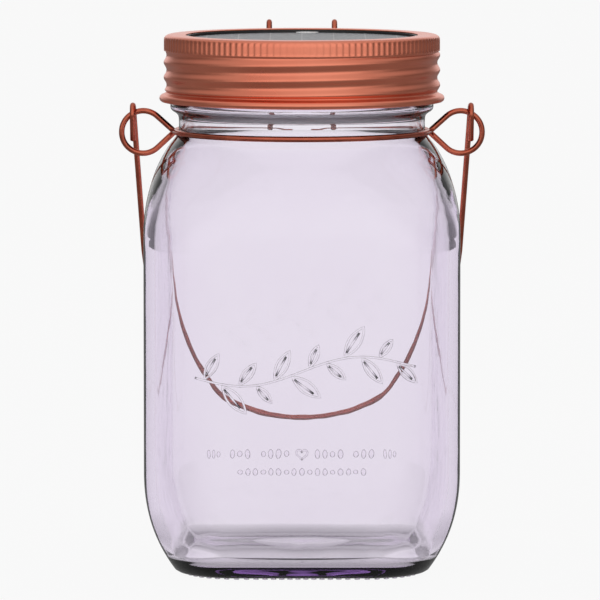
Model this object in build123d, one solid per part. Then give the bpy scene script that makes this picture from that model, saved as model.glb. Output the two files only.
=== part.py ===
# Mason jar lantern: a one-litre square glass jar whose screw band holds a solar lamp unit.
# Millimetres, +Z up, origin at the centre of the jar's base. -Y is the front, the wire handle hangs behind.
import os
from math import acos, atan, atan2, cos, degrees, hypot, pi, radians, sin, sqrt, tan

from build123d import *

# Driving dimensions
WIRE_R = 0.9  # radius of every copper wire
BODY_HALF = 49.3  # half the jar's width
CORNER_R = 22.0  # outside radius of the jar's upright corners
WALL = 3.6
FLOOR_Z = 5.0  # top of the glass floor
PUSH_UP = 1.6  # rise of the base's underside inside the ring that the jar stands on
TAPER_Z = 34.0  # below this the jar narrows to its base
SHOULDER_Z = 108.5  # above this it rounds in to the neck
SHOULDER_R = 44.0
SHOULDER_TOP_Z = 136.0
MOUTH_R = 37.0
GROOVE_R = 38.7  # the neck groove that the wire ring lies in
COLLAR_R = 41.4  # glass bead above the groove
COLLAR_LOW_Z = 143.9
COLLAR_TOP_Z = 147.1
THREAD_ROOT_R = 40.9
THREAD_CREST_R = 41.85
RIM_Z = 163.8
LEAD = 4.7  # rise of the screw thread in one turn
TOP_Z = 168.0  # top of the screw band
BAND_VALLEY_R = 42.6
BAND_CREST_R = 43.5
BAND_SHEET = 0.4
BAND_HOLE_R = 36.5  # the hole in the band's top
BEAD_R = 44.85  # the rolled bead at the band's lower edge
RING_Z = 137.5  # plane of the wire ring round the neck
RING_R = 39.95
EYE_R = 6.7  # mean radius of the ring's side eyes
EYE_X = 50.0
EYE_Z = 137.2
HANDLE_X = 53.2  # where the handle's hooks hang in the eyes
PIVOT_Z = 142.9
HOOK_R = 2.7
HANDLE_TILT = 30.5  # degrees behind upright, where the handle rests against the jar's corners
HANDLE_LEN = 121.0
HANDLE_BOW_R = 43.0
HANDLE_SIDE_R = 100.0
BRACKET_X = 10.5
UPRIGHT_Y = 47.1
BRACKET_EYE_R = 2.6  # mean radius of the eye on top of each bracket
BRACKET_EYE_Z = 166.87
CLIP_Y = UPRIGHT_Y + BRACKET_EYE_R  # hinge of the switch clip, resting in the bottom of the eyes
CLIP_Z = 166.12
CLIP_ARM_X = 7.6
CLIP_OFFSET = 3.68
CLIP_REACH = 17.4  # hinge to magnet
CUP_DEPTH = 1.45
PANEL_R = 35.4
PANEL_TOP_Z = 166.8
HOUSING_R = 36.4
HOUSING_BOTTOM_Z = 147.2
BOARD_Z = 151.0  # underside of the circuit board
BOARD_T = 1.6
LEDGE_Z = 163.9
POST_R = 31.0
FLANGE_R = 41.6
FLANGE_LOW = 165.3
FLANGE_TOP = TOP_Z - BAND_SHEET - 0.06
TUBE_WALL = 1.5
BOARD_TOP = BOARD_Z + BOARD_T
LEDGE_R = 32.8
POST_ANGLES = (45, 135, 225, 315)
CELL_R = 5.25
CELL_LEN = 44.5
CELLS_Y = (-11.0, 0.0, 11.0)

os.makedirs("parts", exist_ok=True)


def save(shape, name):
    export_step(shape, f"parts/{name}.step")


def disc(radius, low, high):
    return Pos(0, 0, low) * Cylinder(radius, high - low, align=(Align.CENTER, Align.CENTER, Align.MIN))


def ring(inner, outer, low, high):
    return disc(outer, low, high) - disc(inner, low - 1, high + 1)


def block(width, depth, low, high, x=0, y=0):
    return Pos(x, y, low) * Box(width, depth, high - low, align=(Align.CENTER, Align.CENTER, Align.MIN))


def peg(x, y, radius, low, high):
    return Pos(x, y, 0) * disc(radius, low, high)


def square_section(half, corner, z):
    return Pos(0, 0, z) * RectangleRounded(2 * half, 2 * half, min(corner, half - 0.25))


def polar(radius, angle, z):
    return (radius * cos(radians(angle)), radius * sin(radians(angle)), z)


def wire(path, radius=WIRE_R):
    start = Plane(origin=path @ 0, z_dir=path % 0)
    return sweep(start * Circle(radius), path=path)


def bent_wire(points, radii, radius=WIRE_R):
    """Wire through corner points, with a bend radius at each corner."""
    return wire(FilletPolyline(*points, radius=radii), radius)


# ---------------------------------------------------------------- glass jar
# A rounded-square body that narrows to its base and rounds in to a round neck. The neck carries a groove for
# the wire ring, a collar bead, the screw thread and a flat rim for the gasket.
def shoulder_half(z):
    rise = max(z - SHOULDER_Z, 0)
    return BODY_HALF - SHOULDER_R + sqrt(SHOULDER_R**2 - rise**2)


def shoulder_corner(z, corner):
    t = min(max((z - 104) / (SHOULDER_TOP_Z - 104), 0), 1)
    blend = t * t * (3 - 2 * t)
    return corner * (1 - blend) + shoulder_half(z) * blend


def jar_solid(inset, corner, bottom_z, bottom_half):
    straight = extrude(square_section(BODY_HALF - inset, corner, TAPER_Z), SHOULDER_Z - TAPER_Z)
    heights = [SHOULDER_Z, 114.0, 120.0, 125.5, 130.5, 134.0, SHOULDER_TOP_Z]
    upper = []
    for z in heights:
        rounding = shoulder_corner(z, corner) - inset * z / 400
        upper.append(square_section(shoulder_half(z) - inset, rounding, z))
    low_span = TAPER_Z - bottom_z
    lower = []
    for k in range(6):
        t = k / 5
        half = BODY_HALF - inset - (BODY_HALF - inset - bottom_half) * (1 - t) ** 2.3
        lower.append(square_section(half, corner * (0.8 + 0.2 * t), bottom_z + low_span * t))
    return straight + loft(upper, ruled=True) + loft(lower, ruled=True)


def helix_rib(root, crest, base_width, crest_width, low_z, high_z):
    """A screw-thread rib on the shared helix: at height z it stands at angle 360 (z - 149.8) / LEAD + 180."""
    angle = 180 + 360 * (low_z - 149.8) / LEAD
    path = Helix(pitch=LEAD, height=high_z - low_z, radius=root)
    foot = base_width / 2 + 0.15
    crown = crest_width / 2
    section = Plane.XZ * Polyline(
        (root - 0.22, -foot), (crest, -crown), (crest, crown), (root - 0.22, foot), close=True
    )
    rib = sweep(make_face(section), path=path, is_frenet=True)
    return Pos(0, 0, low_z) * Rot(0, 0, angle) * rib


def make_glass_jar():
    outside = jar_solid(0, CORNER_R, 0, 38.5)
    outside += disc(GROOVE_R, 134, RIM_Z - 1)
    outside += disc(COLLAR_R, COLLAR_LOW_Z, COLLAR_TOP_Z)
    outside += disc(THREAD_ROOT_R, 147.6, RIM_Z)
    inside = jar_solid(WALL, CORNER_R - WALL, FLOOR_Z, 37.6)
    inside = inside & block(200, 200, FLOOR_Z, 132)
    throat_half = shoulder_half(132) - WALL
    throat = [square_section(throat_half, throat_half, 132), square_section(MOUTH_R, MOUTH_R, 137)]
    neck = loft(throat, ruled=True)
    push_up = loft([Pos(0, 0, -0.01) * Circle(30), Pos(0, 0, PUSH_UP) * Circle(24)], ruled=True)
    jar = outside - inside - neck - disc(MOUTH_R, 136.5, RIM_Z + 1) - push_up
    return jar + helix_rib(THREAD_ROOT_R, THREAD_CREST_R, 2.0, 0.8, 152.6, 158.9)


save(make_glass_jar(), "glass_jar")


# ---------------------------------------------------------------- wire ring round the neck
# One wire lies in the groove. It turns a full eye at each side for the handle, and its two ends stop at the
# back, where the switch clip's brackets are wrapped round them.
def eye_side():
    """Points from the front of the ring to its free rear end, on the +X side, and the bend radius at each."""
    step = 28.0
    points = [polar(RING_R / cos(radians(step / 2)), angle, RING_Z) for angle in (-76, -48, -20)]
    radii = [RING_R - 0.2] * 3
    throat = (40.15, -1.1, RING_Z)
    points.append(throat)
    radii.append(2.6)
    reach = EYE_X - throat[0]
    lean = degrees(acos(EYE_R / reach))
    turn = (360 - 2 * lean) / 4
    for k, depth in enumerate((-0.75, -0.3, 0.3, 0.75)):
        angle = radians(180 - lean - turn * (k + 0.5))
        corner = EYE_R / cos(radians(turn / 2))
        points.append((EYE_X + corner * cos(angle), depth, EYE_Z + corner * sin(angle)))
        radii.append(EYE_R - 0.12)
    points.append((throat[0], -throat[1], RING_Z - 0.3))
    radii.append(2.6)
    # the rear end leaves the groove in a straight line, so that the bracket wraps round it clear of the glass
    end_x, end_y = 13.2, 41.2
    leave = atan2(end_x, end_y) + acos(RING_R / hypot(end_x, end_y))
    leave_angle = 90 - degrees(leave)
    half = (leave_angle - 6) / 4
    for k in (1, 3):
        points.append(polar(RING_R / cos(radians(half)), 6 + half * k, RING_Z))
        radii.append(RING_R - 0.2)
    points += [(end_x, end_y, RING_Z), (8.2, end_y, RING_Z)]
    points += [(6.0, 42.8, RING_Z - 2.5), (3.1, 42.8, RING_Z - 2.5)]
    radii += [2.5, 1.3, 1.3]
    return points, radii


def make_neck_wire():
    points, radii = eye_side()
    mirrored = [(-x, y, z) for x, y, z in points]
    return bent_wire(mirrored[::-1] + points, radii[::-1] + radii)


save(make_neck_wire(), "neck_wire")


# ---------------------------------------------------------------- brackets of the switch clip
def make_bracket(x):
    """A wire in an upright plane: a loop round the ring's free end below, an eye for the clip above."""
    loop_r, bend_r = 1.95, 2.0
    loop_y, loop_top = 41.2, RING_Z + loop_r
    plane = Plane(origin=(x, 0, 0), x_dir=(0, 1, 0), z_dir=(1, 0, 0))
    path = Curve() + [
        plane * CenterArc((loop_y, RING_Z), loop_r, 5, -275),
        plane * Line((loop_y, loop_top), (UPRIGHT_Y - bend_r, loop_top)),
        plane * CenterArc((UPRIGHT_Y - bend_r, loop_top + bend_r), bend_r, -90, 90),
        plane * Line((UPRIGHT_Y, loop_top + bend_r), (UPRIGHT_Y, BRACKET_EYE_Z)),
        plane * CenterArc((CLIP_Y, BRACKET_EYE_Z), BRACKET_EYE_R, 180, -285),
    ]
    return wire(Wire(path.edges()))


save(make_bracket(BRACKET_X), "clip_bracket_right")
save(make_bracket(-BRACKET_X), "clip_bracket_left")


# ---------------------------------------------------------------- carrying handle
def make_handle():
    """Drawn hanging straight down from the pivot, then swung back to where it rests on the jar."""
    bow_z = HANDLE_LEN - HANDLE_BOW_R
    slope = 0.05
    bow_x = HANDLE_BOW_R * sin(pi / 3)
    bow_drop = HANDLE_LEN - HANDLE_BOW_R * (1 - cos(pi / 3))
    lean = atan(slope)
    side_x = bow_x + HANDLE_SIDE_R * (cos(lean) - sin(pi / 3))
    side_drop = bow_drop - HANDLE_SIDE_R * (cos(pi / 3) - sin(lean))
    reach = HANDLE_SIDE_R * tan((pi / 6 - lean) / 2)
    corner = (side_x - reach * sin(lean), side_drop + reach * cos(lean))
    bow_corner = HANDLE_BOW_R / cos(radians(20))
    side = [
        (HANDLE_X, -HOOK_R, -8.0),
        (HANDLE_X, -HOOK_R, HOOK_R),
        (HANDLE_X, HOOK_R, HOOK_R),
        (corner[0], HOOK_R, -corner[1]),
        (bow_corner * sin(radians(40)), HOOK_R, -bow_z - bow_corner * cos(radians(40))),
    ]
    mirrored = [(-x, y, z) for x, y, z in side]
    points = side + [(0, HOOK_R, -bow_z - bow_corner)] + mirrored[::-1]
    tight, wide, bow = HOOK_R - 0.05, HANDLE_SIDE_R - 0.5, HANDLE_BOW_R - 0.1
    radii = [tight, tight, wide, bow, bow, bow, wide, tight, tight]
    return Pos(0, 0, PIVOT_Z) * Rot(HANDLE_TILT, 0, 0) * bent_wire(points, radii)


save(make_handle(), "carry_handle")


# ---------------------------------------------------------------- switch clip
# A magnet at the end of a wire flap. Folded over the band's rim it rests above the reed switch.
def clip_place(shape):
    """From the clip's closed pose, forward over the rim, to hanging behind the jar."""
    return Pos(0, CLIP_Y, CLIP_Z) * Rot(90, 0, 0) * shape


def make_clip_wire():
    """Closed pose, hinge at the origin: stubs in the bracket eyes, cranked arms, a bar across the end."""
    side = [
        (12.4, 0, 0),
        (CLIP_ARM_X, 0, 0),
        (CLIP_ARM_X, 0, CLIP_OFFSET),
        (CLIP_ARM_X, -CLIP_REACH + 3.6, CLIP_OFFSET),
        (4.2, -CLIP_REACH, CLIP_OFFSET),
    ]
    mirrored = [(-x, y, z) for x, y, z in side]
    radii = [1.08, 1.08, 2.0, 2.0]
    return clip_place(bent_wire(side + mirrored[::-1], radii + radii[::-1]))


save(make_clip_wire(), "switch_clip")
MAGNET_TOP = CLIP_OFFSET - WIRE_R
magnet_spot = Pos(0, -CLIP_REACH, 0)
cup = disc(2.5, MAGNET_TOP - CUP_DEPTH, MAGNET_TOP) - disc(2.0, 0, MAGNET_TOP - 0.3)
save(clip_place(magnet_spot * cup), "magnet_cup")
save(clip_place(magnet_spot * disc(1.95, MAGNET_TOP - CUP_DEPTH + 0.05, MAGNET_TOP - 0.35)), "switch_magnet")


# ---------------------------------------------------------------- screw band
# The band turns on the jar's thread and holds the lamp unit down by its flange.
def make_screw_band():
    """Pressed sheet: turned-in rim round an open top, straight skirt, three rolled ridges, curled bead."""
    skirt_r, bore_r = BAND_CREST_R - 0.1, BAND_VALLEY_R - BAND_SHEET
    skirt_z, ridge_z, bead_z, mouth_r = 163.0, 149.9, 148.0, 43.25
    corner, rim = 1.7, TOP_Z - BAND_SHEET
    inner_corner = corner - BAND_SHEET
    inner_r = skirt_r - BAND_SHEET
    ridges = []
    for k in (2, 1, 0):
        low = ridge_z + 0.4 + k * LEAD * 0.9
        ridges += [(BAND_VALLEY_R, low + 2.8), (BAND_CREST_R, low + 1.7)]
        ridges += [(BAND_CREST_R, low + 1.1), (BAND_VALLEY_R, low)]
    skin = Curve() + [
        Line((0, TOP_Z), (skirt_r - corner, TOP_Z)),
        RadiusArc((skirt_r - corner, TOP_Z), (skirt_r, TOP_Z - corner), corner),
        Polyline(
            (skirt_r, TOP_Z - corner),
            (skirt_r, skirt_z),
            (BAND_VALLEY_R, skirt_z - 0.5),
            *ridges,
            (mouth_r + 0.4, ridge_z),
            (mouth_r + 0.4, bead_z + 1.15),
        ),
        ThreePointArc((mouth_r + 0.4, bead_z + 1.15), (BEAD_R, bead_z), (mouth_r + 0.4, bead_z - 1.15)),
        Polyline((mouth_r + 0.4, bead_z - 1.15), (0, bead_z - 1.15), (0, TOP_Z)),
    ]
    cavity = disc(mouth_r, bead_z - 3, ridge_z - 0.3) + disc(bore_r, ridge_z - 1, skirt_z)
    cavity += fillet(disc(inner_r, skirt_z, rim).edges().group_by(Axis.Z)[-1], inner_corner)
    cavity += disc(BAND_HOLE_R, rim - 1, TOP_Z + 1)
    return revolve(Plane.XZ * make_face(skin), axis=Axis.Z) - cavity


save(make_screw_band(), "screw_band")


# ---------------------------------------------------------------- solar lamp unit in the jar's mouth
def posts(radius, low, high):
    """The same peg at each of the four screw posts."""
    places = [polar(POST_R, angle, 0) for angle in POST_ANGLES]
    return [peg(x, y, radius, low, high) for x, y, _ in places]


def make_lamp_housing():
    body = disc(HOUSING_R, HOUSING_BOTTOM_Z + 1.4, FLANGE_LOW + 0.5) + disc(FLANGE_R, FLANGE_LOW, FLANGE_TOP)
    body -= disc(HOUSING_R - TUBE_WALL, HOUSING_BOTTOM_Z - 1, LEDGE_Z - 1.2)
    body -= disc(LEDGE_R, LEDGE_Z - 2, LEDGE_Z + 1)
    body -= disc(PANEL_R + 0.15, LEDGE_Z, TOP_Z)
    for post in posts(2.5, BOARD_TOP + 0.02, LEDGE_Z - 1.1):
        body += post
    for pilot in posts(1.05, BOARD_TOP - 1, BOARD_TOP + 6):
        body -= pilot
    return body


def make_panel_parts():
    seal_top = LEDGE_Z + 0.4
    backing_top = PANEL_TOP_Z - 1.3
    wafer_top = PANEL_TOP_Z - 1.02
    save(ring(LEDGE_R + 0.3, PANEL_R - 0.1, LEDGE_Z, seal_top), "panel_seal")
    save(disc(PANEL_R, seal_top, backing_top), "solar_backing")
    strips = []
    strip_w = 9.6
    for k in range(6):
        x = (k - 2.5) * (strip_w + 0.4)
        outer = abs(x) + strip_w / 2
        depth = 2 * sqrt((PANEL_R - 1.2) ** 2 - outer**2)
        strips.append(block(strip_w, depth, backing_top, wafer_top, x))
    save(Compound(strips), "solar_cells")
    save(disc(PANEL_R, wafer_top, PANEL_TOP_Z), "panel_cover")
    save(Pos(1.7, PANEL_R - 4.0, 0) * disc(3.6, PANEL_TOP_Z, PANEL_TOP_Z + 0.3), "switch_mark")


def make_board():
    board = disc(HOUSING_R - TUBE_WALL - 0.4, BOARD_Z, BOARD_TOP)
    for hole in posts(1.2, BOARD_Z - 1, BOARD_TOP + 1):
        board -= hole
    return board


def make_screws():
    screws = []
    for shank, head in zip(posts(1.0, BOARD_Z - 0.5, BOARD_TOP + 5), posts(1.9, BOARD_Z - 1.3, BOARD_Z)):
        screw = shank + head
        x, y = head.center().X, head.center().Y
        screws.append(screw - block(2.4, 0.5, BOARD_Z - 2, BOARD_Z - 0.9, x, y))
    return Compound(screws)


def make_leds():
    """Four surface-mounted white lights in a ring, facing down."""
    leds = []
    for angle in (0, 90, 180, 270):
        x, y, _ = polar(17.0, angle, 0)
        lens = peg(x, y, 1.1, BOARD_Z - 1.5, BOARD_Z - 1.0)
        leds.append(block(3.5, 2.8, BOARD_Z - 1.1, BOARD_Z, x, y) + lens)
    return Compound(leds)


def make_battery_tray():
    """A shallow tray with a saddle under each cell and a wall at each end."""
    base_top = BOARD_TOP + 0.9
    tray = block(CELL_LEN + 4.0, 34.4, BOARD_TOP, BOARD_TOP + 5.0)
    tray -= block(CELL_LEN + 1.2, 36, base_top + 3.2, BOARD_TOP + 6)
    for y in CELLS_Y:
        trough = Rot(0, 90, 0) * Cylinder(CELL_R + 0.1, CELL_LEN + 1.2)
        tray -= Pos(0, y, base_top + CELL_R + 0.1) * trough
    return tray


def make_cells():
    cells = []
    for y in CELLS_Y:
        can = Rot(0, 90, 0) * Cylinder(CELL_R, CELL_LEN - 1.2)
        tip = Rot(0, 90, 0) * Cylinder(1.9, 1.2)
        cells.append(Pos(-0.6, y, BOARD_TOP + 0.9 + CELL_R + 0.1) * (can + Pos(CELL_LEN / 2, 0, 0) * tip))
    return Compound(cells)


def make_contacts():
    """Sprung metal plates between the cell ends and the tray's end walls."""
    plates = []
    for x in (-CELL_LEN / 2 - 0.3, CELL_LEN / 2 + 0.3):
        for y in CELLS_Y:
            plates.append(block(0.4, 6.0, BOARD_TOP + 5.2, BOARD_TOP + 9.0, x, y))
    return Compound(plates)


def make_lead(x):
    y = 24.6
    points = [(x, y, BOARD_TOP), (x, y, 156.2), (x * 1.4, y + 1.2, 159.4), (x * 1.4, y + 1.2, LEDGE_Z + 0.4)]
    return bent_wire(points, [1.6, 1.6], 0.5)


def make_reed_switch():
    """A sealed glass reed under the mark, on two stiff leads from the board."""
    y, z, half = 29.4, 160.6, 5.0
    capsule = Pos(0, y, z) * Rot(0, 90, 0) * Cylinder(1.1, 2 * half)
    path = FilletPolyline((-half - 2, y, BOARD_TOP), (-half - 2, y, z), (-half + 1, y, z), radius=0.8)
    lead = wire(path, 0.3)
    return capsule + lead + lead.mirror(Plane.YZ)


def make_light_cover():
    """Clear cover that plugs the bottom of the housing."""
    plate = disc(HOUSING_R, HOUSING_BOTTOM_Z, HOUSING_BOTTOM_Z + 1.35)
    plug = ring(33.0, HOUSING_R - TUBE_WALL - 0.05, HOUSING_BOTTOM_Z + 1.3, HOUSING_BOTTOM_Z + 3.2)
    return fillet(plate.edges().group_by(Axis.Z)[0], 0.8) + plug


save(make_lamp_housing(), "lamp_housing")
save(ring(MOUTH_R + 0.2, 41.0, RIM_Z + 0.05, FLANGE_LOW), "lid_gasket")
make_panel_parts()
save(make_board(), "circuit_board")
save(make_screws(), "board_screws")
save(make_leds(), "leds")
save(make_battery_tray(), "battery_tray")
save(make_cells(), "battery_cells")
save(make_contacts(), "battery_contacts")
save(make_reed_switch(), "reed_switch")
save(block(6.0, 5.0, BOARD_TOP, BOARD_TOP + 1.5, 0, -23.5), "control_chip")
save(peg(9.5, -24.0, 2.8, BOARD_TOP, BOARD_TOP + 3.5), "choke_coil")
save(peg(-9.5, -24.0, 2.4, BOARD_TOP, BOARD_TOP + 6.0), "capacitor")
save(make_lead(4.5), "panel_lead_positive")
save(make_lead(-4.5), "panel_lead_negative")
save(make_light_cover(), "light_cover")
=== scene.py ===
from math import acos, atan2, cos, degrees, hypot, pi, radians, sin, sqrt, tan

import bmesh
import bpy
from mathutils import Matrix, Vector


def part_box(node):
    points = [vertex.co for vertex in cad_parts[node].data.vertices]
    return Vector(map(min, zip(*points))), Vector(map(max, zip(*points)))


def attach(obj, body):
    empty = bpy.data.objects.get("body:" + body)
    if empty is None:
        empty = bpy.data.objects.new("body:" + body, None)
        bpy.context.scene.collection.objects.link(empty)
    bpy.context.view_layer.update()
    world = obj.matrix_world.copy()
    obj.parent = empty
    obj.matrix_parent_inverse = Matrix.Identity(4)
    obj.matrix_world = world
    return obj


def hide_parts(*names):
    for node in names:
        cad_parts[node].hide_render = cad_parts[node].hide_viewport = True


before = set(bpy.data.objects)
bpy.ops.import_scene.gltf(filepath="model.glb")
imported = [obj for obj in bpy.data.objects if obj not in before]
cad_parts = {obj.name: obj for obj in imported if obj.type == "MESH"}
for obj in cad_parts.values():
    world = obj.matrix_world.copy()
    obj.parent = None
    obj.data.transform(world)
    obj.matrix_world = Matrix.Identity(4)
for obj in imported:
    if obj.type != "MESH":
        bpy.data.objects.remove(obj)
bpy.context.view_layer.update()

MM = 0.001

# ---------------------------------------------------------------------------------------------------------
# Stage: a plain pale floor with no edge in sight, a bright wall of light behind the lantern and dark
# surroundings at its sides, which glass needs to show its edges, and two soft boxes that no reflection shows.
# The floor is plain only to the camera. Seen through the glass or in reflections, it has a painted shadow
# round the jar and painted shade near it.
stage_scene = bpy.context.scene
stage_scene.view_settings.view_transform = "Standard"
stage_scene.view_settings.look = "None"


def nodes_of(material):
    material.use_nodes = True
    tree = material.node_tree
    return tree, tree.nodes["Principled BSDF"], tree.nodes["Material Output"]


def add(tree, kind, **settings):
    """A new node with its settings; a name that isn't a setting sets the input of that name."""
    node = tree.nodes.new(kind)
    for key, value in settings.items():
        if hasattr(node, key):
            setattr(node, key, value)
        else:
            node.inputs[key.replace("_", " ")].default_value = value
    return node


def ramp(tree, stops, source=None):
    """A colour ramp through (place, colour) stops; a single number is a grey."""
    node = tree.nodes.new("ShaderNodeValToRGB")
    bar = node.color_ramp
    while len(bar.elements) < len(stops):
        bar.elements.new(0.5)
    for element, (place, colour) in zip(bar.elements, stops):
        element.position = place
        element.color = (*colour, 1) if isinstance(colour, tuple) else (colour, colour, colour, 1)
    if source is not None:
        tree.links.new(source, node.inputs["Fac"])
    return node


world = bpy.data.worlds.new("studio")
stage_scene.world = world
world.use_nodes = True
sky = world.node_tree
sky_light = sky.nodes["Background"]
direction = add(sky, "ShaderNodeTexCoord")
split = add(sky, "ShaderNodeSeparateXYZ")
sky.links.new(direction.outputs["Generated"], split.inputs[0])
forward = add(sky, "ShaderNodeMapRange", From_Min=-1.0)
sky.links.new(split.outputs["Y"], forward.inputs["Value"])
around = ramp(
    sky,
    [
        (0.0, 1.0), (0.12, 1.0), (0.27, 0.45), (0.42, 0.18),
        (0.84, 0.17), (0.91, 0.25), (0.965, 0.95), (1.0, 0.95),
    ],
    forward.outputs[0],
)
overhead = add(sky, "ShaderNodeMapRange", From_Min=0.25, From_Max=0.9, To_Max=0.9)
sky.links.new(split.outputs["Z"], overhead.inputs["Value"])
lit = add(sky, "ShaderNodeMix", data_type="RGBA")
sky.links.new(overhead.outputs[0], lit.inputs["Factor"])
sky.links.new(around.outputs[0], lit.inputs["A"])
lit.inputs["B"].default_value = (0.8, 0.8, 0.8, 1)
seen = add(sky, "ShaderNodeLightPath")
shown = add(sky, "ShaderNodeMix", data_type="RGBA")
sky.links.new(seen.outputs["Is Camera Ray"], shown.inputs["Factor"])
sky.links.new(lit.outputs["Result"], shown.inputs["A"])
shown.inputs["B"].default_value = (0.948, 0.948, 0.948, 1)
sky.links.new(shown.outputs["Result"], sky_light.inputs["Color"])

floor_mesh = bmesh.new()
bmesh.ops.create_circle(floor_mesh, cap_ends=True, radius=40, segments=64)
floor = bpy.data.objects.new("floor", bpy.data.meshes.new("floor"))
floor_mesh.to_mesh(floor.data)
floor_mesh.free()
stage_scene.collection.objects.link(floor)
floor_paint = bpy.data.materials.new("pale_floor")
tree, shader, output = nodes_of(floor_paint)
shader.inputs["Base Color"].default_value = (0.9, 0.9, 0.9, 1)
shader.inputs["Roughness"].default_value = 0.9
shader.inputs["Specular IOR Level"].default_value = 0.0
place = add(tree, "ShaderNodeTexCoord")
away = add(tree, "ShaderNodeVectorMath", operation="LENGTH")
tree.links.new(place.outputs["Object"], away.inputs[0])
# Painted contact shadow: for every ray but the camera's, the floor's glow is painted darker within about 10
# cm of the jar's centre.
painted_contact_shadow = ramp(tree, [(0.045, 0.45), (0.065, 0.70), (0.10, 0.93)], away.outputs["Value"])
glow = add(tree, "ShaderNodeEmission")
tree.links.new(painted_contact_shadow.outputs[0], glow.inputs["Color"])
plain = add(tree, "ShaderNodeEmission", Strength=1.0)
plain.inputs["Color"].default_value = (0.948, 0.948, 0.948, 1)
straight = add(tree, "ShaderNodeMixShader", Fac=0.02)
tree.links.new(plain.outputs[0], straight.inputs[1])
tree.links.new(shader.outputs[0], straight.inputs[2])
seen = add(tree, "ShaderNodeLightPath")
spot = add(tree, "ShaderNodeSeparateXYZ")
tree.links.new(place.outputs["Object"], spot.inputs[0])
# Painted shade in reflections: to rays reflected off metal or glass, the floor glows at 0.24 near and behind
# the jar, rising to 0.95 at 1.7 m in front.
ahead = add(tree, "ShaderNodeMapRange", From_Min=-1.7, From_Max=-0.25, To_Min=0.95, To_Max=0.24)
tree.links.new(spot.outputs["Y"], ahead.inputs["Value"])
painted_reflection_shade = add(tree, "ShaderNodeEmission")
tree.links.new(ahead.outputs[0], painted_reflection_shade.inputs["Strength"])
outside_only = add(tree, "ShaderNodeMath", operation="SUBTRACT", use_clamp=True)
tree.links.new(seen.outputs["Is Glossy Ray"], outside_only.inputs[0])
tree.links.new(seen.outputs["Is Transmission Ray"], outside_only.inputs[1])
mirrored = add(tree, "ShaderNodeMixShader")
tree.links.new(outside_only.outputs[0], mirrored.inputs["Fac"])
tree.links.new(glow.outputs[0], mirrored.inputs[1])
tree.links.new(painted_reflection_shade.outputs[0], mirrored.inputs[2])
cover = add(tree, "ShaderNodeMixShader")
tree.links.new(seen.outputs["Is Camera Ray"], cover.inputs["Fac"])
tree.links.new(mirrored.outputs[0], cover.inputs[1])
tree.links.new(straight.outputs[0], cover.inputs[2])
tree.links.new(cover.outputs[0], output.inputs["Surface"])
floor.data.materials.append(floor_paint)


def soft_box(name, place, size, power):
    lamp = bpy.data.lights.new(name, "AREA")
    lamp.shape = "RECTANGLE"
    lamp.size, lamp.size_y = size
    lamp.energy = power
    holder = bpy.data.objects.new(name, lamp)
    holder.location = place
    holder.rotation_euler = (Vector((0, 0, 0.09)) - Vector(place)).to_track_quat("-Z", "Y").to_euler()
    holder.visible_transmission = False
    holder.visible_glossy = False
    stage_scene.collection.objects.link(holder)


soft_box("left_box", (-0.55, -1.3, 0.75), (0.7, 0.7), 4.0)
soft_box("top_box", (0.0, 0.15, 1.2), (0.8, 0.6), 2.0)

VIEW_DISTANCE, VIEW_HEIGHT = 2.0, 0.268
AIM = Vector((-0.0006, 0, 0.0841))
SHOWN_WIDTH = 0.1893
camera = bpy.data.objects.new("camera", bpy.data.cameras.new("camera"))
camera.location = (AIM.x, -VIEW_DISTANCE, VIEW_HEIGHT)
sight = AIM - camera.location
camera.rotation_euler = sight.to_track_quat("-Z", "Y").to_euler()
camera.data.lens = camera.data.sensor_width * sight.length / SHOWN_WIDTH
camera.data.clip_end = 100
stage_scene.collection.objects.link(camera)
stage_scene.camera = camera


# ---------------------------------------------------------------------------------------------------------
# Glass jar: pressed from lilac-tinted glass in a square mould with rounded corners. The wall is thicker in
# the corners and the base, and the base is pushed up so that the jar stands on a ring.
JAR_HALF = -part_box("glass_jar")[0][0]
SHOULDER_LOW, SHOULDER_SWEEP = 108.5 * MM, 44.0 * MM
NECK_TOP = 136.0 * MM
CORNER = 22.0 * MM
BLEND_Z, FOOT_TOP_Z, FOOT_WIDTH = 0.104, 0.034, 0.0385  # where it starts to turn round, and the narrow foot
WALL, BORE_R = 0.0036, 0.037
THREAD_START, THREAD_LEAD = 149.8, 4.7  # millimetres


def finish_mesh(name, work, materials, body, smooth=True):
    """Writes a bmesh into a new object at the origin that rides on a body."""
    bmesh.ops.remove_doubles(work, verts=work.verts, dist=1e-6)
    bmesh.ops.recalc_face_normals(work, faces=work.faces)
    for face in work.faces:
        face.smooth = smooth
    mesh = bpy.data.meshes.new(name)
    work.to_mesh(mesh)
    work.free()
    piece = bpy.data.objects.new(name, mesh)
    for material in materials:
        mesh.materials.append(material)
    bpy.context.scene.collection.objects.link(piece)
    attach(piece, body)
    return piece


def square_reach(angle, half, corner):
    """How far a rounded square's outline is from its centre at that angle."""
    a = abs((angle + pi / 4) % (pi / 2) - pi / 4)
    centre = half - corner
    if half * tan(a) <= centre:
        return half / cos(a)
    along = centre * (cos(a) + sin(a))
    return along + sqrt(max(along * along - 2 * centre * centre + corner * corner, 0))


def shoulder_half(z):
    rise = max(z - SHOULDER_LOW, 0)
    return JAR_HALF - SHOULDER_SWEEP + sqrt(SHOULDER_SWEEP**2 - rise**2)


def ease(t):
    t = min(max(t, 0), 1)
    return t * t * (3 - 2 * t)


def outer_section(z):
    """(half width, corner radius) of the jar's outside at height z, below the neck."""
    half = shoulder_half(z)
    blend = ease((z - BLEND_Z) / (NECK_TOP - BLEND_Z))
    corner = CORNER * (1 - blend) + half * blend
    if z < FOOT_TOP_Z:
        t = z / FOOT_TOP_Z
        half = JAR_HALF - (JAR_HALF - FOOT_WIDTH) * (1 - t) ** 2.3
        corner = CORNER * (0.8 + 0.2 * t)
    return half, corner


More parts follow.
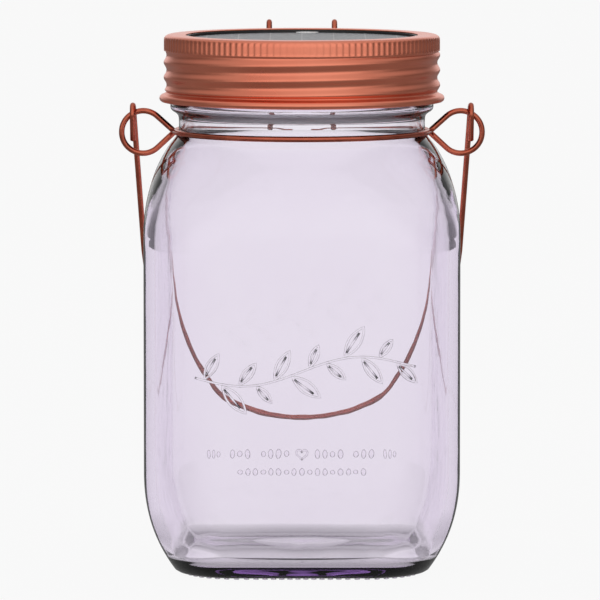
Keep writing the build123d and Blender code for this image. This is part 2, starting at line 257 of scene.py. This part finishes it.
def set_ring(verts, z, half, corner):
    """Moves a ring of points, each along its own direction, on to a rounded square at height z."""
    for vert in verts:
        angle = atan2(vert.co.y, vert.co.x)
        reach = square_reach(angle, half, corner)
        vert.co = (reach * cos(angle), reach * sin(angle), z)


def pull_rings(work, rings, around):
    """Pulls a tube through rings of (z, half width, corner radius); returns its first and last edges."""
    start = bmesh.ops.create_circle(work, cap_ends=False, radius=1, segments=around)["verts"]
    set_ring(start, *rings[0])
    first = edges = list({edge for vert in start for edge in vert.link_edges})
    for ring in rings[1:]:
        grown = bmesh.ops.extrude_edge_only(work, edges=edges)["geom"]
        set_ring([item for item in grown if isinstance(item, bmesh.types.BMVert)], *ring)
        edges = [item for item in grown if isinstance(item, bmesh.types.BMEdge)]
    return first, edges


def steps(low, high, count):
    return [low + (high - low) * k / count for k in range(count)]


AROUND = 192
outside = [(0.00055, 0.0345, 0.0165), (0.0005, 0.0362, 0.0170)]
outside += [(0.0006, 0.0374, 0.0172), (0.001, 0.0386, 0.0175)]
body_heights = steps(0.0018, FOOT_TOP_Z, 18) + steps(FOOT_TOP_Z, BLEND_Z, 7)
for z in body_heights + steps(BLEND_Z, NECK_TOP - 0.0012, 24):
    outside.append((z, *outer_section(z)))
neck_profile = [
    (135.7, 39.75), (136.3, 39.25), (137.1, 38.9), (138.0, 38.75), (139.2, 38.7),
    (140.6, 38.7), (141.8, 38.75), (142.6, 38.95), (143.2, 39.4), (143.7, 40.1),
    (144.1, 40.75), (144.6, 41.2), (145.2, 41.38), (145.9, 41.38),
    (146.5, 41.2), (147.0, 41.0), (147.8, 40.9), (149.5, 40.9), (151.0, 40.9),
]
neck_profile += [(z, 40.9) for z in steps(152.0, 160.0, 26)]
neck_profile += [
    (160.0, 40.9), (161.5, 40.9), (162.9, 40.8), (163.5, 40.35), (163.78, 39.6),
    (163.8, 38.9), (163.78, 38.2), (163.5, 37.45), (162.9, 37.1),
]
for z, radius in neck_profile:
    outside.append((z * MM, radius * MM, radius * MM))
inside = [(z * MM, BORE_R, BORE_R) for z in (160, 152, 146, 142, 139, 137.5)]
for k in range(30):
    z = 0.1365 - (0.1365 - 0.0095) * k / 29
    half, corner = outer_section(min(z, 0.1355))
    neck_in = ease((z - 0.1285) / 0.009)
    shoulder_extra = 0.0006 * ease((z - 0.108) / 0.02) * (1 - neck_in)
    wall = WALL + shoulder_extra + 0.0004 * ease((0.03 - z) / 0.03)
    half = (half - wall) * (1 - neck_in) + BORE_R * neck_in
    inside.append((z, half, min(corner - 0.0028, half)))
low_half, low_corner = inside[-1][1:]
FLOOR_TOP, FLOOR_TURN = 0.0048, 0.0047
for k in range(1, 8):  # the inside turns in to the floor
    turn = radians(90 * k / 7)
    half = low_half - FLOOR_TURN * (1 - cos(turn)) - 0.0006 * k / 7
    inside.append((0.0095 - FLOOR_TURN * sin(turn), half, low_corner - 0.002 * k / 7))
inside += [(FLOOR_TOP + 0.0001, 0.0300, 0.0180), (FLOOR_TOP + 0.0003, 0.0262, 0.0225)]
inside += [(FLOOR_TOP + 0.0005, 0.0232, 0.0232), (FLOOR_TOP + 0.0007, 0.0222, 0.0222)]
inside += [(FLOOR_TOP + 0.0012, 0.0214, 0.0214), (FLOOR_TOP + 0.0014, 0.0204, 0.0204)]
inside += [(FLOOR_TOP + 0.0016, 0.0120, 0.0120), (FLOOR_TOP + 0.0017, 0.0040, 0.0040)]
under = [(0.0006, 0.0325, 0.0165), (0.0009, 0.0290, 0.0190)]
under += [(0.0013, 0.0250, 0.0245), (0.0016, 0.0222, 0.0222)]
under += [(0.0017, 0.0200, 0.0200), (0.0018, 0.0120, 0.0120), (0.0019, 0.0040, 0.0040)]
glass = bmesh.new()
bottom_edge, floor_edge = pull_rings(glass, outside + inside, AROUND)
for vert in glass.verts:  # the screw thread swells out of the neck, one lead to a turn
    if 0.1521 < vert.co.z < 0.1599 and vert.co.xy.length > 0.040:
        around = degrees(atan2(vert.co.y, vert.co.x))
        climb = vert.co.z / MM - THREAD_START - THREAD_LEAD * (around - 180) / 360
        from_crest = abs((climb + THREAD_LEAD / 2) % THREAD_LEAD - THREAD_LEAD / 2)
        run_in = ease((vert.co.z - 0.1523) / 0.0008)
        run_out = ease((0.1592 - vert.co.z) / 0.0008)
        swelling = ease((1.25 - from_crest) / 0.9) * run_in * run_out
        vert.co.xy *= 1 + 0.95 * swelling / 40.9
under_edge, push_edge = pull_rings(glass, under, AROUND)
bmesh.ops.bridge_loops(glass, edges=bottom_edge + under_edge)
bmesh.ops.contextual_create(glass, geom=floor_edge)
bmesh.ops.contextual_create(glass, geom=push_edge)

lilac_glass = bpy.data.materials.new("lilac_glass")
tree, shader, output = nodes_of(lilac_glass)
shader.inputs["Transmission Weight"].default_value = 1.0
shader.inputs["IOR"].default_value = 1.5
place = add(tree, "ShaderNodeTexCoord")
ripple = add(tree, "ShaderNodeTexNoise", Scale=55.0, Detail=2.0)
tree.links.new(place.outputs["Object"], ripple.inputs["Vector"])
tint = ramp(tree, [(0.3, (0.985, 0.975, 0.99)), (0.7, (0.995, 0.99, 1.0))], ripple.outputs["Fac"])
tree.links.new(tint.outputs[0], shader.inputs["Base Color"])
gloss = ramp(tree, [(0.3, 0.0), (0.75, 0.02)], ripple.outputs["Fac"])
tree.links.new(gloss.outputs[0], shader.inputs["Roughness"])
wave = add(tree, "ShaderNodeBump", Strength=0.04, Distance=0.002)
tree.links.new(ripple.outputs["Fac"], wave.inputs["Height"])
tree.links.new(wave.outputs[0], shader.inputs["Normal"])
body_tint = add(tree, "ShaderNodeVolumeAbsorption", Density=52.0)
body_tint.inputs["Color"].default_value = (0.62, 0.45, 0.74, 1)
tree.links.new(body_tint.outputs[0], output.inputs["Volume"])
jar = finish_mesh("jar_glass", glass, [lilac_glass], "jar")
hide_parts("glass_jar")

# ---------------------------------------------------------------------------------------------------------
# Raised ornament on the glass: a leaf sprig pressed across the jar's front, two rows of beads round a small
# heart low on its back, and the short studs on the ring that the jar stands on. All are the jar's own glass.


def face_out(x, z):
    """How far the jar's front or back face stands from its centre, round the corner too."""
    half, corner = outer_section(z)
    past = max(abs(x) - (half - corner), 0)
    return half - corner + sqrt(corner * corner - past * past)


def pressed_lines(name, lines, thickness, side):
    """Thin half-round ridges along lines of (x, z) on the front (-1) or back (1) face."""
    data = bpy.data.curves.new(name + "_lines", "CURVE")
    data.dimensions = "3D"
    data.bevel_depth = thickness
    data.bevel_resolution = 2
    data.use_fill_caps = True
    for points, closed in lines:
        spline = data.splines.new("POLY")
        spline.points.add(len(points) - 1)
        spline.use_cyclic_u = closed
        for point, (x, z) in zip(spline.points, points):
            point.co = (x, 0, z, 1)
    drawn = bpy.data.objects.new(name + "_lines", data)
    mesh = bpy.data.meshes.new_from_object(drawn)
    ridges = bmesh.new()
    ridges.from_mesh(mesh)
    for vert in ridges.verts:
        lift = 0.00002 + 0.6 * (thickness + side * vert.co.y)
        vert.co.y = side * (face_out(vert.co.x, vert.co.z) + lift)
    bpy.data.objects.remove(drawn)
    return finish_mesh(name, ridges, [lilac_glass], "jar")


def leaf(x, z, length, width, lean):
    """The outline of a pointed leaf that grows from (x, z)."""
    outline = []
    for k in range(28):
        t = k / 14
        along = length * (t if t <= 1 else 2 - t)
        across = width * max(sin(pi * along / length), 0) ** 0.9 * (1 if t <= 1 else -1)
        leaf_x = x + along * cos(lean) - across * sin(lean)
        leaf_z = z + along * sin(lean) + across * cos(lean)
        outline.append((leaf_x, leaf_z))
    return outline


def stem_height(x):
    return 0.0665 + 0.0035 * sin(x / 0.0105) + 0.06 * x


sprig = [([(x * MM, stem_height(x * MM)) for x in range(-33, 36)], False)]
LEAVES = 12
for k in range(LEAVES):
    x = (-30 + 5.4 * k) * MM
    up = 1 if k % 2 == 0 else -1
    size = 0.0088 + 0.0024 * sin(1.7 * k)
    lean = up * radians(52 + 8 * sin(2.3 * k)) + 0.15
    z = stem_height(x)
    sprig.append((leaf(x, z + up * 0.0005, size, 0.17 * size, lean), True))
    vein = []
    for t in (0.1, 0.5, 0.95):
        vein.append((x + size * t * cos(lean) * 0.8, z + up * 0.0009 + size * t * sin(lean) * 0.8))
    sprig.append((vein, False))
front_sprig = pressed_lines("front_sprig", sprig, 0.00034, -1)

HEART_Z, HEART_UNIT, HEART_POINTS = 0.0297, 0.00011, 36
heart = []
for k in range(HEART_POINTS):
    t = 2 * pi * k / HEART_POINTS
    rise = 13 * cos(t) - 5 * cos(2 * t) - 2 * cos(3 * t) - cos(4 * t)
    heart.append((HEART_UNIT * 16 * sin(t) ** 3, HEART_Z + HEART_UNIT * rise))
back_heart = pressed_lines("back_heart", [(heart, True)], 0.0003, 1)

LOW_ROW_Z, BEAD_PITCH = 0.0234, 0.0025
beads = bmesh.new()
for z, reach, first in ((HEART_Z, 13, 2), (LOW_ROW_Z, 8, 0)):
    for k in range(-reach, reach + 1):
        if abs(k) < first or (z > 0.026 and abs(k) in (6, 10)):
            continue
        x = BEAD_PITCH * k
        made = bmesh.ops.create_uvsphere(beads, u_segments=12, v_segments=8, radius=1)["verts"]
        bmesh.ops.scale(beads, vec=(0.00085, 0.00032, 0.00155 - 0.0005 * (k % 3 == 1)), verts=made)
        bmesh.ops.translate(beads, vec=(x, face_out(x, z) + 0.0004, z), verts=made)
back_beads = finish_mesh("back_beads", beads, [lilac_glass], "jar")

FOOT_HALF, FOOT_CORNER, STUDS = 0.0362, 0.0170, 92
studs = bmesh.new()
for k in range(STUDS):
    angle = 2 * pi * (k + 0.5) / STUDS
    reach = square_reach(angle, FOOT_HALF, FOOT_CORNER)
    made = bmesh.ops.create_uvsphere(studs, u_segments=12, v_segments=8, radius=1)["verts"]
    bmesh.ops.scale(studs, vec=(0.00075, 0.00095, 0.00024), verts=made)
    bmesh.ops.rotate(studs, cent=(0, 0, 0), matrix=Matrix.Rotation(angle, 3, "Z"), verts=made)
    bmesh.ops.translate(studs, vec=(reach * cos(angle), reach * sin(angle), 0.00025), verts=made)
foot_studs = finish_mesh("foot_studs", studs, [lilac_glass], "jar")

# ---------------------------------------------------------------------------------------------------------
# Copper wire: the ring round the neck with its two eyes, the carrying handle, the clip's two brackets and the
# clip, each one length of drawn steel wire with a satin copper coat, bent cold round pins.
WIRE_R = 0.9 * MM


def soft_variation():
    """Soft patches and a fine grain, both from 0 to 1, for any finish."""
    group = bpy.data.node_groups.new("soft_variation", "ShaderNodeTree")
    group.interface.new_socket("Patch Scale", in_out="INPUT", socket_type="NodeSocketFloat")
    group.interface.new_socket("Grain Scale", in_out="INPUT", socket_type="NodeSocketFloat")
    group.interface.new_socket("Patches", in_out="OUTPUT", socket_type="NodeSocketFloat")
    group.interface.new_socket("Grain", in_out="OUTPUT", socket_type="NodeSocketFloat")
    inlet = group.nodes.new("NodeGroupInput")
    outlet = group.nodes.new("NodeGroupOutput")
    place = add(group, "ShaderNodeTexCoord")
    for source, target, detail in (("Patch Scale", "Patches", 4.0), ("Grain Scale", "Grain", 2.0)):
        noise = add(group, "ShaderNodeTexNoise", Detail=detail)
        group.links.new(inlet.outputs[source], noise.inputs["Scale"])
        group.links.new(place.outputs["Object"], noise.inputs["Vector"])
        group.links.new(noise.outputs["Fac"], outlet.inputs[target])
    return group


variation = soft_variation()


def finish(name, dark, light, rough, patch=60.0, grain=1500.0, bump=0.1, metal=0.0):
    """A finish that drifts between two colours and two roughnesses, with a fine relief."""
    material = bpy.data.materials.new(name)
    tree, shader, output = nodes_of(material)
    shader.inputs["Metallic"].default_value = metal
    vary = tree.nodes.new("ShaderNodeGroup")
    vary.node_tree = variation
    vary.inputs["Patch Scale"].default_value = patch
    vary.inputs["Grain Scale"].default_value = grain
    colour = ramp(tree, [(0.3, dark), (0.7, light)], vary.outputs["Patches"])
    sheen = ramp(tree, [(0.3, rough[0]), (0.7, rough[1])], vary.outputs["Patches"])
    relief = add(tree, "ShaderNodeBump", Strength=bump, Distance=0.0001)
    tree.links.new(colour.outputs[0], shader.inputs["Base Color"])
    tree.links.new(sheen.outputs[0], shader.inputs["Roughness"])
    tree.links.new(vary.outputs["Grain"], relief.inputs["Height"])
    tree.links.new(relief.outputs[0], shader.inputs["Normal"])
    return material


wire_copper = finish(
    "wire_copper", (0.44, 0.10, 0.06), (0.64, 0.17, 0.10), (0.20, 0.30), 160.0, 2600.0, 0.15, 1.0
)


def arc_line(centre, radius, start, turn):
    """Points on an arc in a (y, z) plane, in degrees."""
    count = int(abs(turn) / 6)
    angles = [radians(start + turn * k / count) for k in range(count + 1)]
    return [(centre[0] + radius * cos(a), centre[1] + radius * sin(a)) for a in angles]


def bent_line(points, radii):
    """The line of a wire that runs straight from corner to corner and turns on a pin at each."""
    line = [Vector(points[0])]
    for before, corner, after, radius in zip(points, points[1:], points[2:], radii):
        corner = Vector(corner)
        inward = (Vector(before) - corner).normalized()
        outward = (Vector(after) - corner).normalized()
        half = inward.angle(outward) / 2
        centre = corner + (inward + outward).normalized() * (radius / sin(half))
        start = corner + inward * (radius / tan(half)) - centre
        end = corner + outward * (radius / tan(half)) - centre
        count = max(4, int(degrees(pi - 2 * half) / 5))
        for k in range(count + 1):
            point = centre + start.slerp(end, k / count) * radius
            if (point - line[-1]).length > 0.02:
                line.append(point)
    line.append(Vector(points[-1]))
    return line


def copper_rod(name, line, body, *nodes):
    """A round wire along a line in millimetres."""
    data = bpy.data.curves.new(name, "CURVE")
    data.dimensions = "3D"
    data.bevel_depth = WIRE_R
    data.bevel_resolution = 6
    data.use_fill_caps = True
    spline = data.splines.new("POLY")
    spline.points.add(len(line) - 1)
    for point, spot in zip(spline.points, line):
        point.co = (spot[0] * MM, spot[1] * MM, spot[2] * MM, 1)
    data.materials.append(wire_copper)
    rod = bpy.data.objects.new(name, data)
    bpy.context.scene.collection.objects.link(rod)
    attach(rod, body)
    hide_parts(*nodes)
    return rod

RING_R, RING_Z = 39.95, 137.5
EYE_R, EYE_X, EYE_Z = 6.7, 50.0, 137.2


def on_ring(angle, reach):
    return (reach * cos(radians(angle)), reach * sin(radians(angle)), RING_Z)


ring_side = [on_ring(angle, RING_R / cos(radians(14))) for angle in (-76, -48, -20)]
ring_bends = [RING_R - 0.2] * 3 + [2.6] + [EYE_R - 0.12] * 4 + [2.6]
throat = 40.15
ring_side.append((throat, -1.1, RING_Z))
throat_angle = degrees(acos(EYE_R / (EYE_X - throat)))
quarter = (360 - 2 * throat_angle) / 4
for k, depth in enumerate((-0.75, -0.3, 0.3, 0.75)):
    angle = radians(180 - throat_angle - quarter * (k + 0.5))
    corner = EYE_R / cos(radians(quarter / 2))
    ring_side.append((EYE_X + corner * cos(angle), depth, EYE_Z + corner * sin(angle)))
ring_side.append((throat, 1.1, RING_Z - 0.3))
LEAVE_X, LEAVE_Y = 13.2, 41.2  # where the wire leaves the neck for its bracket
leave = 90 - degrees(atan2(LEAVE_X, LEAVE_Y) + acos(RING_R / hypot(LEAVE_X, LEAVE_Y)))
step = (leave - 6) / 4
ring_side += [on_ring(6 + step * k, RING_R / cos(radians(step))) for k in (1, 3)]
ring_side += [(LEAVE_X, LEAVE_Y, RING_Z), (8.2, LEAVE_Y, RING_Z)]
ring_side += [(6.0, 42.8, RING_Z - 2.5), (3.1, 42.8, RING_Z - 2.5)]
ring_bends += [RING_R - 0.2] * 2 + [2.5, 1.3, 1.3]
whole = [(-x, y, z) for x, y, z in ring_side[::-1]] + ring_side
copper_rod("neck_ring", bent_line(whole, ring_bends[::-1] + ring_bends), "jar", "neck_wire")

UPRIGHT_Y, CLIP_Y, CLIP_Z = 47.1, 49.7, 166.12
for hand, x in (("right", 10.5), ("left", -10.5)):
    flat = arc_line((LEAVE_Y, RING_Z), 1.95, 5, -275) + arc_line((UPRIGHT_Y - 2, RING_Z + 3.95), 2.0, -90, 90)
    flat += arc_line((CLIP_Y, 166.87), 2.6, 180, -285)
    copper_rod("bracket_" + hand, [(x, y, z) for y, z in flat], "jar", "clip_bracket_" + hand)

BOW_R, DROP, HOOK_R, HOOK_X = 43.0, 121.0, 2.7, 53.2
HANDLE_Z, HANG_ANGLE = 142.9, 30.5
bow_z, leg_lean = DROP - BOW_R, atan2(0.05, 1)
bow_x, bow_drop = BOW_R * sin(pi / 3), DROP - BOW_R / 2
knee_x = bow_x + 100 * (cos(leg_lean) - sin(pi / 3)) - 100 * tan((pi / 6 - leg_lean) / 2) * sin(leg_lean)
knee_z = bow_drop - 100 * (0.5 - sin(leg_lean)) + 100 * tan((pi / 6 - leg_lean) / 2) * cos(leg_lean)
bow_corner = BOW_R / cos(radians(20))
handle_side = [(HOOK_X, -HOOK_R, -8.0), (HOOK_X, -HOOK_R, HOOK_R)]
handle_side += [(HOOK_X, HOOK_R, HOOK_R), (knee_x, HOOK_R, -knee_z)]
handle_side.append((bow_corner * sin(radians(40)), HOOK_R, -bow_z - bow_corner * cos(radians(40))))
hanging = handle_side + [(0, HOOK_R, -bow_z - bow_corner)] + [(-x, y, z) for x, y, z in handle_side[::-1]]
handle_bends = [HOOK_R - 0.05] * 2 + [99.5] + [BOW_R - 0.1] * 3 + [99.5] + [HOOK_R - 0.05] * 2
swing = Matrix.Rotation(radians(HANG_ANGLE), 3, "X")
handle_line = [swing @ spot + Vector((0, 0, HANDLE_Z)) for spot in bent_line(hanging, handle_bends)]
copper_rod("handle_wire", handle_line, "handle", "carry_handle")

flap = [(12.4, 0, 0), (7.6, 0, 0), (7.6, 0, 3.68), (7.6, -13.8, 3.68), (4.2, -17.4, 3.68)]
flap += [(-x, y, z) for x, y, z in flap[::-1]]
flap_line = bent_line(flap, [1.08, 1.08, 2.0, 2.0, 2.0, 2.0, 1.08, 1.08])
copper_rod("clip_wire", [(x, CLIP_Y - z, CLIP_Z + y) for x, y, z in flap_line], "clip", "switch_clip")


def dress(node, material):
    """Gives a CAD node its finish."""
    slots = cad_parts[node].data.materials
    slots.clear()
    slots.append(material)


dress("magnet_cup", wire_copper)
dress("switch_magnet", finish("bright_nickel", 0.55, 0.66, (0.18, 0.3), 300.0, 3000.0, 0.1, 1.0))

# ---------------------------------------------------------------------------------------------------------
# Screw band: one pressed steel ring, copper coated. Its top edge is knurled for grip, its skirt is rolled
# over the glass thread, its lower edge is curled into a bead and its top is cut out round the solar panel.
KNURLS, BAND_AROUND = 132, 528


def swell(value, low, high, fade):
    return ease((value - low) / fade) * ease((high - value) / fade)


def band_radius(radius, z, angle):
    """The skirt's radius with the thread rolled in it and the knurl above, in millimetres."""
    if radius == "thread":
        crest = THREAD_START + THREAD_LEAD * (degrees(angle) - 180) / 360
        wave = (0.5 + 0.5 * cos(2 * pi * (z - crest) / THREAD_LEAD)) ** 1.15
        return 42.6 + 0.88 * wave * swell(z, 149.9, 163.1, 0.9)
    if radius == "knurl":
        rib = max(0.5 + 0.5 * cos(KNURLS * angle), 0) ** 0.5
        round_off = 1.5 - sqrt(2.25 - max(z - 166.4, 0) ** 2)
        return 43.4 - round_off - 0.34 * (1 - rib) * swell(z, 163.0, 167.35, 0.4)
    return radius


band_profile = [(43.3, 147.0), (43.65, 146.87), (44.25, 147.0), (44.65, 147.35)]
band_profile += [(44.85, 147.95), (44.7, 148.55), (44.3, 149.0)]
band_profile += [(43.75, 149.2), (43.25, 149.4), (43.0, 149.65)]
band_profile += [("thread", z) for z in steps(149.9, 162.9, 50)]
knurl_heights = (163.0, 163.2, 163.4, 164.0, 165.0, 166.0, 166.6, 166.95, 167.2, 167.4)
band_profile += [("knurl", z) for z in knurl_heights]
band_profile += [(42.73, 167.6), (42.35, 167.8), (41.9, 167.93)]
band_profile += [(40.8, 168.0), (39.0, 168.0), (37.4, 168.0), (36.85, 167.95)]
band_profile += [(36.57, 167.85), (36.5, 167.75)]
band_profile += [(36.57, 167.65), (36.85, 167.6), (41.3, 167.6), (41.9, 167.4), (42.5, 167.0), (42.9, 166.2)]
band_profile += [(42.95, 163.4), (42.7, 163.0), (42.2, 162.8), (42.2, 156.0), (42.2, 150.3), (42.6, 149.7)]
band_profile += [(43.1, 149.2), (43.2, 148.0), (43.2, 147.2), (43.3, 147.0)]
band = bmesh.new()
start = bmesh.ops.create_circle(band, cap_ends=False, radius=1, segments=BAND_AROUND)["verts"]
ring_edges = list({edge for vert in start for edge in vert.link_edges})
ring_verts = start
for k, (radius, z) in enumerate(band_profile):
    if k:
        grown = bmesh.ops.extrude_edge_only(band, edges=ring_edges)["geom"]
        ring_verts = [item for item in grown if isinstance(item, bmesh.types.BMVert)]
        ring_edges = [item for item in grown if isinstance(item, bmesh.types.BMEdge)]
    for vert in ring_verts:
        angle = atan2(vert.co.y, vert.co.x) % (2 * pi)
        reach = band_radius(radius, z, angle) * MM
        vert.co = (reach * cos(angle), reach * sin(angle), z * MM)
band_copper = finish(
    "band_copper", (0.82, 0.235, 0.145), (0.92, 0.30, 0.19), (0.26, 0.33), 45.0, 2200.0, 0.12, 1.0
)
lid_band = finish_mesh("lid_band", band, [band_copper], "band")
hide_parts("screw_band")

# ---------------------------------------------------------------------------------------------------------
# Solar panel: a black moulded housing seals on the glass rim by a soft gasket. On its ledge lie a foam ring,
# a backing sheet, six dark cells and a satin resin top, with a pale round mark over the magnet switch.
dress("lamp_housing", finish("black_moulding", 0.012, 0.022, (0.35, 0.5), 80.0, 1800.0, 0.25))
dress("lid_gasket", finish("pale_rubber", 0.60, 0.70, (0.45, 0.6), 120.0, 1500.0, 0.2))
dress("panel_seal", finish("black_foam", 0.015, 0.03, (0.8, 0.95), 200.0, 900.0, 0.5))
dress(
    "solar_backing",
    finish("panel_sheet", (0.02, 0.025, 0.035), (0.035, 0.04, 0.05), (0.5, 0.6), 90.0, 1200.0, 0.1),
)
dress(
    "solar_cells",
    finish("cell_silicon", (0.008, 0.012, 0.03), (0.016, 0.022, 0.05), (0.2, 0.3), 150.0, 900.0, 0.05),
)
dress("switch_mark", finish("pale_mark", 0.62, 0.70, (0.3, 0.4), 200.0, 2000.0, 0.08))

panel_top = bpy.data.materials.new("panel_resin")
tree, shader, output = nodes_of(panel_top)
shader.inputs["Coat Weight"].default_value = 0.3
shader.inputs["Coat Roughness"].default_value = 0.35
place = add(tree, "ShaderNodeTexCoord")
axes = add(tree, "ShaderNodeSeparateXYZ")
tree.links.new(place.outputs["Object"], axes.inputs[0])
strip = add(tree, "ShaderNodeMath", operation="PINGPONG")
tree.links.new(axes.outputs["X"], strip.inputs[0])
strip.inputs[1].default_value = 0.005
gap = ramp(
    tree,
    [
        (0.0, (0.22, 0.22, 0.23)), (0.03, (0.12, 0.12, 0.13)), (0.05, (0.035, 0.04, 0.055)),
        (0.97, (0.03, 0.034, 0.05)), (1.0, (0.05, 0.055, 0.07)),
    ],
)
widen = add(tree, "ShaderNodeMath", operation="MULTIPLY")
tree.links.new(strip.outputs[0], widen.inputs[0])
widen.inputs[1].default_value = 200.0
tree.links.new(widen.outputs[0], gap.inputs["Fac"])
rib = add(tree, "ShaderNodeMath", operation="PINGPONG")
tree.links.new(axes.outputs["Y"], rib.inputs[0])
rib.inputs[1].default_value = 0.00085
fine = add(tree, "ShaderNodeMath", operation="MULTIPLY")
tree.links.new(rib.outputs[0], fine.inputs[0])
fine.inputs[1].default_value = 1176.0
fingers = ramp(
    tree, [(0.0, (0.30, 0.30, 0.32)), (0.10, (0.0, 0.0, 0.0)), (1.0, (0.0, 0.0, 0.0))], fine.outputs[0]
)
cells = add(tree, "ShaderNodeMix", data_type="RGBA", blend_type="ADD")
cells.inputs["Factor"].default_value = 0.25
tree.links.new(gap.outputs[0], cells.inputs["A"])
tree.links.new(fingers.outputs[0], cells.inputs["B"])
tree.links.new(cells.outputs["Result"], shader.inputs["Base Color"])
cloud = add(tree, "ShaderNodeTexNoise", Scale=700.0, Detail=3.0)
tree.links.new(place.outputs["Object"], cloud.inputs["Vector"])
haze = ramp(tree, [(0.3, 0.34), (0.7, 0.46)], cloud.outputs["Fac"])
tree.links.new(haze.outputs[0], shader.inputs["Roughness"])
skin = add(tree, "ShaderNodeBump", Strength=0.08, Distance=0.0001)
tree.links.new(cloud.outputs["Fac"], skin.inputs["Height"])
tree.links.new(skin.outputs[0], shader.inputs["Normal"])
dress("panel_cover", panel_top)

# ---------------------------------------------------------------------------------------------------------
# Lamp: a white circuit board held to the housing's posts by four screws carries the lights, the cells in
# their tray and the small parts. A frosted cover closes the housing below it and lets the light down into
# the jar.
dress("circuit_board", finish("white_mask", 0.66, 0.74, (0.35, 0.45), 90.0, 1500.0, 0.1))
dress(
    "leds",
    finish("yellow_phosphor", (0.72, 0.56, 0.16), (0.80, 0.66, 0.24), (0.3, 0.4), 700.0, 2500.0, 0.1),
)
dress("board_screws", finish("zinc_steel", 0.50, 0.62, (0.25, 0.4), 400.0, 3000.0, 0.15, 1.0))
dress(
    "battery_cells",
    finish("green_sleeve", (0.02, 0.12, 0.05), (0.03, 0.17, 0.075), (0.25, 0.35), 90.0, 1500.0, 0.06),
)
dress("battery_tray", finish("black_tray", 0.015, 0.025, (0.4, 0.55), 90.0, 1800.0, 0.25))
dress("battery_contacts", finish("nickel_plate", 0.58, 0.68, (0.22, 0.35), 300.0, 2500.0, 0.1, 1.0))
dress("control_chip", finish("black_epoxy", 0.01, 0.018, (0.5, 0.65), 300.0, 2500.0, 0.2))
dress(
    "choke_coil",
    finish("grey_ferrite", (0.035, 0.032, 0.03), (0.06, 0.055, 0.05), (0.55, 0.7), 300.0, 1800.0, 0.35),
)
dress("capacitor", finish("bare_can", 0.55, 0.65, (0.25, 0.35), 250.0, 2500.0, 0.08, 1.0))
dress(
    "panel_lead_positive",
    finish("red_insulation", (0.38, 0.02, 0.015), (0.48, 0.03, 0.02), (0.35, 0.45), 200.0, 1500.0, 0.08),
)
dress("panel_lead_negative", finish("black_insulation", 0.012, 0.02, (0.35, 0.45), 200.0, 1500.0, 0.08))


def clear_finish(name, base, rough, patch):
    """Clear material whose tint and haze drift a little."""
    material = bpy.data.materials.new(name)
    tree, shader, output = nodes_of(material)
    shader.inputs["Transmission Weight"].default_value = 1.0
    shader.inputs["IOR"].default_value = 1.49
    vary = tree.nodes.new("ShaderNodeGroup")
    vary.node_tree = variation
    vary.inputs["Patch Scale"].default_value = patch
    vary.inputs["Grain Scale"].default_value = 1800.0
    tint = ramp(tree, [(0.3, base[0]), (0.7, base[1])], vary.outputs["Patches"])
    haze = ramp(tree, [(0.3, rough[0]), (0.7, rough[1])], vary.outputs["Grain"])
    tree.links.new(tint.outputs[0], shader.inputs["Base Color"])
    tree.links.new(haze.outputs[0], shader.inputs["Roughness"])
    return material


dress(
    "reed_switch",
    clear_finish("reed_glass", ((0.62, 0.80, 0.68), (0.72, 0.88, 0.78)), (0.03, 0.08), 300.0),
)
dress(
    "light_cover",
    clear_finish("frosted_cover", ((0.86, 0.87, 0.88), (0.93, 0.94, 0.95)), (0.3, 0.42), 90.0),
)
